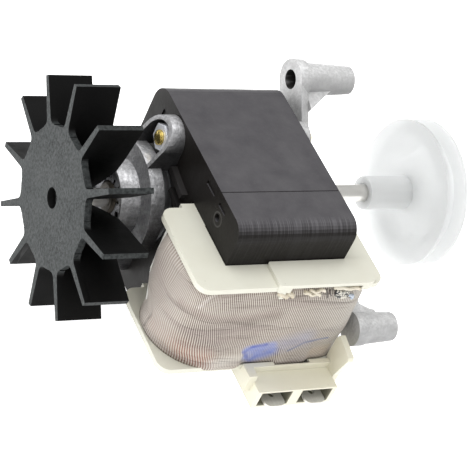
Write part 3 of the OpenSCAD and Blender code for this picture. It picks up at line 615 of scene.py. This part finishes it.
# Each table runs from the lower flange (-1) to the upper one (1), in mm.
# Sides are inward distances from the box of the CAD coil.
NEAR_FAN = ((-1.0, 0.3), (-0.6, -0.3), (0.0, -0.6), (0.6, -0.6), (1.0, -0.2))
NEAR_WHEEL = ((-1.0, 0.2), (-0.3, 0.1), (0.4, 0.4), (1.0, 1.2))
OUTER = ((-1.0, -0.75), (-0.7, -0.5), (-0.2, 0.1), (0.5, 0.7), (1.0, 1.6))
INNER = ((-1.0, 1.0), (0.0, 0.6), (1.0, 0.8))
CORNERS = (
    ((-1.0, 15.0), (-0.4, 12.5), (0.3, 10.0), (1.0, 8.0)),
    ((-1.0, 8.0), (1.0, 8.0)),
    ((-1.0, 8.0), (1.0, 7.0)),
    ((-1.0, 11.0), (-0.5, 13.0), (0.0, 9.5), (0.5, 7.5), (1.0, 7.0)),
)
# A loop has four bends and four straights, by turns
PIECES = 8


def outline_point(place, v):
    """Point and outward direction on the loop; place 0..8 counts straights and bends."""
    x0 = spool_low.x + between(NEAR_FAN, v)
    x1 = spool_high.x - between(NEAR_WHEEL, v)
    y0 = spool_low.y + between(OUTER, v)
    y1 = spool_high.y - between(INNER, v)
    r = [between(table, v) for table in CORNERS]
    corners = ((x0, y0, 1, 1), (x1, y0, -1, 1), (x1, y1, -1, -1), (x0, y1, 1, -1))
    centres = [(cx + sx * r[k], cy + sy * r[k]) for k, (cx, cy, sx, sy) in enumerate(corners)]
    piece, t = int(place) % PIECES, place - int(place)
    k = piece // 2
    bends = piece % 2 == 0
    angle = math.radians(180 + 90 * k + (90 * t if bends else 90))
    nx, ny = math.cos(angle), math.sin(angle)
    ax, ay = centres[k][0] + r[k] * nx, centres[k][1] + r[k] * ny
    if bends:
        return ax, ay, nx, ny
    after = (k + 1) % 4
    bx, by = centres[after][0] + r[after] * nx, centres[after][1] + r[after] * ny
    return ax + (bx - ax) * t, ay + (by - ay) * t, nx, ny


print("the outline half way up starts at", [round(value, 1) for value in outline_point(0.0, 0.0)[:2]])

# %% [markdown]
# Columns stand at equal arc lengths on the loop half way up, so threads keep their pitch.
# Soft folds come from a few slanted steps, where one turn of tape overlaps the next.
# Below, the tape's hem hangs over the edge of the flange and into the notch of the block.
# The copper is a second, smaller loop inside, with a ridge for each layer of wire.

# %% Folds, hem and mesh
TAPE_AROUND, TAPE_UP, HEM_ROWS = 520, 56, 5
# The loop starts and ends on the hidden straight next to the frame, and is measured in fine steps
SEAM_AT, FINE = 5.5, 4000


def columns():
    """Places of the columns on the loop, with their arc lengths in mm."""
    fine = [SEAM_AT + PIECES * i / FINE for i in range(FINE + 1)]
    spots = [outline_point(place % PIECES, 0.0)[:2] for place in fine]
    run = [0.0]
    for (ax, ay), (bx, by) in zip(spots, spots[1:]):
        run.append(run[-1] + math.hypot(bx - ax, by - ay))
    result, j = [], 0
    for i in range(TAPE_AROUND + 1):
        want = run[-1] * i / TAPE_AROUND
        while j < FINE - 1 and run[j + 1] < want:
            j += 1
        share = (want - run[j]) / max(run[j + 1] - run[j], 1e-9)
        result.append(((fine[j] + (fine[j + 1] - fine[j]) * share) % PIECES, want))
    return result, run[-1]


def soft_step(value):
    """A smooth rise from 0 to 1, half way up at 0."""
    return 1 / (1 + math.exp(max(-30.0, min(30.0, -value))))


# Overlaps of the tape: height, rise and phase of the line, depth and softness, in mm
OVERLAPS = (
    (6.5, 3.0, 0.4, 0.30, 0.45), (-3.5, 2.2, 2.1, 0.24, 0.5), (9.5, 1.4, 4.0, 0.18, 0.4),
    (2.0, -3.6, 1.2, 0.22, 0.35), (-8.0, 1.8, 5.2, 0.16, 0.5),
)


def fold(arc, z, total):
    """How far folds and overlaps push the tape out, in mm."""
    a = arc / total * 2 * math.pi
    push = 0.10 * math.sin(6 * a + 1.1) * math.sin(z * 0.30 + 2.0 * math.sin(2 * a))
    for level, slope, phase, depth, thin in OVERLAPS:
        line = level + slope * math.sin(a * 2 + phase)
        push += depth * (soft_step((z - line) / thin) - 0.5) * (0.6 + 0.4 * math.sin(3 * a + phase))
    return push


def hem_drop(x):
    """How far the hem hangs below the flange's upper face, in mm."""
    row_x = x - STACK_X0
    over_edge = soft_step((row_x - 0.6) / 0.5) * soft_step((12.6 - row_x) / 0.4)
    in_notch = 2.3 * soft_step((row_x - 23.8) / 0.25) * soft_step((31.5 - row_x) / 0.3)
    return over_edge + in_notch


def block_clear(x):
    """How far the tape keeps back where the block's rim stands, in mm."""
    row_x = x - STACK_X0
    rim = soft_step((row_x - 12.9) / 0.3) * soft_step((23.2 - row_x) / 0.3)
    return 0.95 * rim + 1.1 * soft_step((row_x - 33.6) / 0.4)


def wound_copper():
    """The winding itself, one ridge per layer of wire, just inside the tape."""
    count, rows, depth, ridge = 160, 64, -2.2, 0.12
    points = []
    for j in range(rows + 1):
        v = 1.94 * j / rows - 0.97
        inset = depth + ridge * math.cos(j * math.pi)
        for i in range(count):
            x, y, nx, ny = outline_point(PIECES * i / count, v)
            points.append(((x + nx * inset) * MM, (y + ny * inset) * MM, spool_high.z * v * MM))
    return new_piece("wound_copper", points, ring_faces(rows + 1, count, capped=False))


def taped_coil():
    """The tape, its hem included, with the place round the coil and the height kept on it."""
    cols, total = columns()
    half = spool_high.z
    points, arcs, heights, faces = [], [], [], []
    for j in range(-HEM_ROWS, TAPE_UP + 1):
        hem = max(0.0, -j / HEM_ROWS)
        v = -1.0 if j < 0 else 2 * j / TAPE_UP - 1
        for place, arc in cols:
            x, y, nx, ny = outline_point(place, v)
            z = half * v
            bulge = 0.45 * (1 - abs(v) ** 3) - 0.5 * max(0.0, v) ** 16
            folded = fold(arc, z, total) * min(1.0, (1 - abs(v)) * 7)
            push = bulge + folded * soft_step((-27.0 - y) / 1.5)
            outward = max(0.0, -ny - 0.6) / 0.4
            push -= block_clear(x) * outward * soft_step((-v - 0.55) / 0.06)
            if j < 0:
                drop = hem_drop(x) * min(1.0, outward * 1.5)
                z -= drop * hem
                push -= (0.25 + 0.55 * (1 - min(1.0, drop))) * hem
            points.append(((x + nx * push) * MM, (y + ny * push) * MM, z * MM))
            arcs.append(arc * MM)
            heights.append(z * MM)
    width = TAPE_AROUND + 1
    for j in range(HEM_ROWS + TAPE_UP):
        for i in range(TAPE_AROUND):
            first = j * width + i
            faces.append((first, first + 1, first + width + 1, first + width))
    thing = new_piece("taped_coil", points, faces)
    for name, values in (("around", arcs), ("height", heights)):
        layer = thing.data.attributes.new(name, "FLOAT", "POINT")
        layer.data.foreach_set("value", values)
    shell = thing.modifiers.new("tape_thickness", "SOLIDIFY")
    shell.thickness = 0.0003
    shell.offset = -1.0
    return thing, total * MM


TRACK = [(arc, outline_point(place, 0.0)[:2]) for place, arc in columns()[0]]


def front(*spots):
    """Places round the coil, with heights, of (X, Z) spots on its outer side, in mm."""
    facing = [(arc, spot) for arc, spot in TRACK if spot[1] < spool_low.y + 9.0]
    return [(min((abs(spot[0] - x), arc) for arc, spot in facing)[1], z) for x, z in spots]


def side(*spots):
    """The same for (Y, Z) spots on the side towards the impeller."""
    facing = [(arc, spot) for arc, spot in TRACK if spot[0] < spool_low.x + 6.0]
    return [(min((abs(spot[1] - y), arc) for arc, spot in facing)[1], z) for y, z in spots]


coil, tape_total = taped_coil()
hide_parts("coil_tape")
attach(coil, "stator")
copper = wound_copper()
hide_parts("coil_winding")
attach(copper, "stator")
print("tape loop", round(tape_total / MM, 1), "mm round,", len(coil.data.polygons), "faces")

# %% [markdown]
# The weave is drawn from the kept arc length: one sine for the upright threads, 0.56 mm
# apart, and a weaker one for the threads that go round. Where neither covers, the red-brown
# enamel of the wire shows. Threads of real mesh would cost far too many faces. Noise read
# from arc and height gives the long creases, bumped and painted darker as painted shade.
# The folds are painted darker as painted shade and one of them lighter as a painted highlight,
# the side towards the impeller is painted darker as painted shade, and the end towards the
# wheel paler as a painted sheen.
# A blue marker was pressed on the tape and dragged: a patch, a haze and one thin streak.

# %% The woven glass finish
UPRIGHT_PITCH, LEVEL_PITCH = 0.00056, 0.00047
weave = Finish("woven_glass_tape", roughness=0.62, Specular_IOR_Level=0.25)
around, height = weave.kept("around"), weave.kept("height")


def thread(finish, run, other, pitch, lean):
    """0..1 ridges of threads at a pitch along a kept length, leaning with the other."""
    read = finish.plus(run, finish.times(other, lean))
    wobble = finish.times(finish.noise(110.0, detail=2.0), pitch * 1.1)
    angle = finish.times(finish.plus(read, wobble), 2 * math.pi / pitch)
    return finish.plus(finish.times(finish.maths("SINE", angle), 0.5), 0.5)


upright = thread(weave, around, height, UPRIGHT_PITCH, 0.05)
level = thread(weave, height, around, LEVEL_PITCH, 0.03)
cover = weave.maths("MAXIMUM", upright, weave.times(level, 0.5))
gap = weave.band(cover, 0.22, 0.92, 1.0, 0.0)
sheet = weave.vector(weave.times(around, 26.0), weave.times(height, 190.0))
# Crease noise, used for bump and as painted shade.
crease_and_shade = weave.band(weave.noise(1.0, detail=3.0, at=sheet, distort=0.6), 0.5, 0.68)
stain = weave.band(weave.noise(42.0, detail=3.0), 0.38, 0.64)
# A painted sheen at the wheel end, and painted shade on the side towards the impeller, by the way it faces.
wheel_end_sheen = weave.band(weave.axis("X"), -0.036, -0.016)
side_face = weave.band(weave.facing("X"), -0.6, -0.95)


def mark(path, width, soft):
    """A line on the tape through (place round the coil, height) points in mm."""
    lines = [weave.stroke(around, height, a, b, width, soft) for a, b in zip(path, path[1:])]
    shape = lines[0]
    for line in lines[1:]:
        shape = weave.maths("MAXIMUM", shape, line)
    return shape


def faded(shape, amount, scale=90.0):
    """A mark worn away in cloudy patches."""
    wear = weave.band(weave.noise(scale, detail=3.0), 0.3, 0.65, 0.35 * amount, amount)
    return weave.times(shape, wear)


def painted(base, coats):
    """Lays (amount, colour) coats over a base."""
    for amount, colour in coats:
        base = weave.mix(amount, base, colour)
    return base


# Fold lines, used for bump and as painted shade; the pale fold as a painted highlight.
deep_fold_and_shade = mark(side((-43.5, 5.6)) + front((-64.9, 5.2), (-56.1, 4.3), (-50.1, 3.9), (-41.9, 5.2)), 0.3, 2.2)
low_fold_shade = mark(side((-41.0, -1.0)) + front((-63.0, -3.6), (-55.0, -3.4), (-47.0, -1.5)), 0.2, 1.8)
fold_and_highlight = mark(front((-65.3, 7.6), (-63.2, 11.6), (-60.1, 14.2)), 0.15, 0.8)
red_stain = mark(side((-40.5, -8.5)) + front((-62.2, -10.5)), 1.2, 4.5)
plum_stain = mark(side((-33.9, 5.5), (-36.0, 2.0)), 1.0, 4.5)
pale_foot = mark(front((-58.7, -12.6), (-48.4, -11.6)), 0.6, 2.6)
peach = mark(front((-24.6, -11.3), (-18.4, -11.2)), 0.8, 2.4)
hole = mark(front((-27.2, -14.6), (-26.8, -16.0)), 0.25, 0.4)

varnish = painted(weave.mix(stain, (0.61, 0.57, 0.505), (0.5, 0.455, 0.395)), (
    (weave.times(side_face, 0.8), (0.4, 0.365, 0.33)),
    (weave.times(crease_and_shade, 0.55), (0.36, 0.31, 0.29)),
    (faded(deep_fold_and_shade, 0.55), (0.3, 0.24, 0.22)),
    (faded(low_fold_shade, 0.4), (0.34, 0.28, 0.26)),
    (faded(pale_foot, 0.7), (0.7, 0.67, 0.61)),
    (weave.times(fold_and_highlight, 0.8), (0.85, 0.8, 0.74)),
    (weave.times(wheel_end_sheen, 0.4), (0.6, 0.6, 0.56)),
    (faded(peach, 0.7), (0.7, 0.58, 0.45)),
))
# The wire also takes the painted sheen at the wheel end.
wire = painted(weave.mix(stain, (0.13, 0.085, 0.07), (0.075, 0.045, 0.04)), (
    (faded(red_stain, 0.95), (0.2, 0.06, 0.03)),
    (faded(plum_stain, 0.9), (0.1, 0.035, 0.045)),
    (weave.times(wheel_end_sheen, 0.6), (0.24, 0.22, 0.19)),
))
strength = weave.times(weave.band(side_face, 0.0, 1.0, 0.97, 0.55), weave.band(pale_foot, 0.0, 1.0, 1.0, 0.6))
upper_patch = mark(front((-47.6, -8.4), (-40.5, -7.6)), 1.1, 1.6)
lower_patch = mark(front((-46.6, -11.3), (-40.2, -9.6)), 1.5, 1.9)
patch = weave.maths("MAXIMUM", upper_patch, lower_patch)
patch = weave.times(patch, weave.band(weave.noise(260.0, detail=3.0), 0.25, 0.55, 0.45, 1.0))
dark_edge = mark(front((-47.2, -12.4), (-48.9, -8.6), (-46.5, -7.1), (-42.0, -6.4)), 0.2, 0.8)
low_edge = mark(front((-46.5, -13.2), (-43.4, -11.4), (-39.6, -10.4)), 0.1, 0.7)
haze = mark(front((-38.5, -7.5), (-30.0, -4.6)), 0.8, 3.6)
streak = mark(front((-34.3, -9.2), (-29.8, -6.4), (-22.3, -5.2)), 0.06, 0.45)
INK_WEAR = 300.0
cloth = painted(weave.mix(weave.times(gap, strength), varnish, wire), (
    (weave.times(haze, 0.25), (0.36, 0.4, 0.6)),
    (weave.times(patch, 0.72), (0.2, 0.26, 0.58)),
    (faded(dark_edge, 0.8, INK_WEAR), (0.07, 0.1, 0.36)),
    (faded(low_edge, 0.6, INK_WEAR), (0.09, 0.13, 0.4)),
    (faded(streak, 0.9, INK_WEAR), (0.13, 0.15, 0.24)),
    (weave.times(hole, 0.9), (0.03, 0.022, 0.018)),
))
weave.colour(cloth)
weave.bump(cover, 0.00005)
weave.bump(crease_and_shade, 0.0006)
weave.bump(deep_fold_and_shade, -0.0005)
weave.bump(fold_and_highlight, 0.0004)
dress("taped_coil", weave)
dress("wound_copper", turned("copper_wire", (0.5, 0.2, 0.1), (0.36, 0.13, 0.06), 0.35, 1.0))
print("threads round the coil:", round(tape_total / UPRIGHT_PITCH))

# %% [markdown]
# Under the raised pocket the ends of the winding come out: cream sleeves, a knot of sleeved
# wire set in varnish, and a blue tail. A curve with a round bevel would be too even for
# them, so each is a tube of rings along a short bent path, with a little chance in its
# radius, and each rides on the stator.

# %% Tubes, sleeves and varnish
EDGE_Y = spool_low.y + 0.1


def tube(name, radius, lumps, seed, *spots):
    """A smooth lumpy tube along (x, distance out of the coil, z) spots in mm."""
    sides, steps = 12, 6
    path = [(x, EDGE_Y - out, z) for x, out, z in spots]
    rng = random.Random(seed)
    spine = []
    for k in range(len(path) - 1):
        p0, p1, p2, p3 = (Vector(path[min(max(k + d, 0), len(path) - 1)]) for d in (-1, 0, 1, 2))
        for s in range(steps):
            t = s / steps
            bend, twist = 2 * p0 - 5 * p1 + 4 * p2 - p3, 3 * p1 - p0 - 3 * p2 + p3
            spine.append(0.5 * (2 * p1 + (p2 - p0) * t + bend * t * t + twist * t ** 3))
    spine.append(Vector(path[-1]))
    points = []
    for k, spot in enumerate(spine):
        ahead = (spine[min(k + 1, len(spine) - 1)] - spine[max(k - 1, 0)]).normalized()
        side = ahead.cross(Vector((0.3, 0.2, 0.93))).normalized()
        over = side.cross(ahead)
        ends = min(1.0, 0.55 + 0.45 * min(k, len(spine) - 1 - k))
        for i in range(sides):
            angle = 2 * math.pi * i / sides
            reach = radius * ends * (1 + lumps * rng.uniform(-1, 1))
            points.append((spot + side * math.cos(angle) * reach + over * math.sin(angle) * reach) * MM)
    thing = new_piece(name, points, ring_faces(len(spine), sides))
    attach(thing, "stator")
    return thing


cream_bits = [
    tube("sleeve_end_1", 0.75, 0.22, 2, (-46.0, 0.2, 13.9), (-44.4, 0.4, 13.2), (-42.6, 0.3, 12.2)),
    tube("sleeve_end_2", 0.6, 0.25, 3, (-43.4, 0.3, 13.8), (-41.6, 0.3, 12.9), (-40.9, 0.2, 12.0)),
    tube(
        "varnish_ridge_1", 0.5, 0.3, 4,
        (-38.0, 0.0, 13.3), (-36.8, 0.6, 13.5), (-35.4, 0.4, 12.6), (-34.0, 0.6, 13.2), (-32.6, 0.3, 12.3),
    ),
    tube(
        "varnish_ridge_2", 0.42, 0.3, 5,
        (-36.6, 0.2, 14.4), (-34.8, 0.8, 14.0), (-33.2, 0.6, 14.6), (-31.8, 0.5, 13.8),
    ),
    tube(
        "flange_burr", 0.5, 0.3, 6,
        (-29.5, 0.3, 14.9), (-27.6, 0.9, 15.3), (-25.0, 0.7, 14.7), (-22.6, 0.8, 15.0), (-20.9, 0.2, 13.9),
    ),
]
dark_bits = [
    tube("wire_tail_1", 0.22, 0.1, 7, (-31.4, 0.2, 14.4), (-30.6, 0.5, 12.6), (-29.6, 0.3, 10.9)),
    tube("wire_tail_2", 0.18, 0.1, 8, (-30.4, 0.2, 14.2), (-29.9, 0.6, 12.9), (-28.9, 0.3, 11.8)),
]
twisted_bits = [
    tube(
        "sleeved_bundle_%d" % k, 0.5, 0.12, 9 + k,
        (-28.6 + 0.3 * k, 0.5, 13.9 - 0.9 * k),
        (-26.6 + 0.3 * k, 0.9, 13.6 - 0.9 * k),
        (-24.2 + 0.2 * k, 0.7, 13.7 - 0.8 * k),
    )
    for k in range(3)
]
blue_bits = [
    tube(
        "blue_tail", 0.5, 0.12, 13,
        (-24.3, 0.6, 12.3), (-22.9, 0.7, 12.0), (-21.8, 0.2, 11.1), (-21.4, -0.3, 9.8),
    ),
]
sleeve = moulding("varnished_sleeve", (0.72, 0.68, 0.57), (0.5, 0.42, 0.3), 0.3, 0.1)
sleeve.bump(sleeve.noise(500.0, detail=3.0), 0.0002)
dark_wire = Finish("burnt_varnish", roughness=0.35)
dark_wire.colour(dark_wire.mix(dark_wire.noise(900.0), (0.03, 0.022, 0.018), (0.12, 0.1, 0.085)))
striped = Finish("braided_sleeve", roughness=0.5)
braid = striped.noise(1.0, detail=1.0, at=striped.stretched(1500.0, 500.0, 900.0), distort=1.2)
striped.colour(striped.mix(striped.band(braid, 0.46, 0.54), (0.035, 0.035, 0.04), (0.62, 0.6, 0.53)))
striped.bump(braid, 0.0002)
blue_grey = Finish("blue_tail_skin", roughness=0.45)
faded_blue = blue_grey.band(blue_grey.noise(800.0), 0.35, 0.65)
blue_grey.colour(blue_grey.mix(faded_blue, (0.22, 0.3, 0.46), (0.55, 0.58, 0.6)))
wire_kinds = ((cream_bits, sleeve), (dark_bits, dark_wire), (twisted_bits, striped), (blue_bits, blue_grey))
for bits, finish in wire_kinds:
    for bit in bits:
        dress(bit.name, finish)
print("wire pieces:", sum(len(bits) for bits, _ in wire_kinds))

# %% [markdown]
# Two small things stay. The clamp screws carry a thread where they stick out of the nuts:
# rings of points whose radius follows the helix, because bump would leave the outline smooth.
# A strip of insulation stands between the coil and the stack, bent over the lower corner.

# %% Threads and insulation strip
PITCH, MAJOR, MINOR = 0.7, 2.06, 1.66
SCREW_RADIUS, CLEAR = 2.0, 0.02


def threaded_end(name, x0, x1, y, z):
    """A helical thread over a screw's free end, in mm."""
    sides, rows = 36, max(2, int((x1 - x0) / PITCH * 12))
    points = []
    for j in range(rows + 1):
        x = x0 + (x1 - x0) * j / rows
        for i in range(sides):
            angle = 2 * math.pi * i / sides
            phase = ((x - x0) / PITCH - i / sides) % 1.0
            ridge = 1 - abs(2 * phase - 1)
            reach = MINOR + (MAJOR - MINOR) * ridge
            reach *= 0.93 if j == 0 or j == rows else 1.0
            points.append((x * MM, (y + reach * math.cos(angle)) * MM, (z + reach * math.sin(angle)) * MM))
    thing = new_piece(name, points, ring_faces(rows + 1, sides))
    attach(thing, "stator")
    return thing


screw_low, screw_high = (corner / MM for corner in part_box("clamp_screws"))
nut_x = (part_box("clamp_nuts")[0] / MM).x
screw_y = (screw_low.y + screw_high.y) / 2
for number, screw_z in ((1, screw_low.z + SCREW_RADIUS), (2, screw_high.z - SCREW_RADIUS)):
    threaded_end("thread_%d" % number, screw_low.x - CLEAR, nut_x - CLEAR, screw_y, screw_z)
    zinc = turned("thread_zinc_%d" % number, (0.9, 0.72, 0.25), (0.35, 0.25, 0.06), 0.22, 0.9)
    dress("thread_%d" % number, zinc)

strip_path = (
    (-69.45, -26.4, 14.2), (-69.45, -26.7, 6.7), (-69.45, -27.1, 1.2),
    (-69.3, -28.2, -1.6), (-69.0, -29.0, -4.0), (-68.6, -30.0, -8.0),
)
strip_section = ((-0.35, 0.0), (0.1, 0.55), (0.5, 0.4), (0.2, -0.25))
strip_points = [((x + dx) * MM, (y + dy) * MM, z * MM) for x, y, z in strip_path for dx, dy in strip_section]
strip_faces = ring_faces(len(strip_path), len(strip_section))
strip = new_piece("insulation_strip", strip_points, strip_faces, smooth=False)
strip_edge = strip.modifiers.new("soft_edge", "BEVEL")
strip_edge.width = 0.0001
strip_edge.segments = 2
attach(strip, "stator")
dress("insulation_strip", moulding("strip_plastic", (0.66, 0.66, 0.62), (0.5, 0.5, 0.47), 0.5))
print("thread turns on each end:", round((nut_x - screw_low.x) / PITCH, 1))
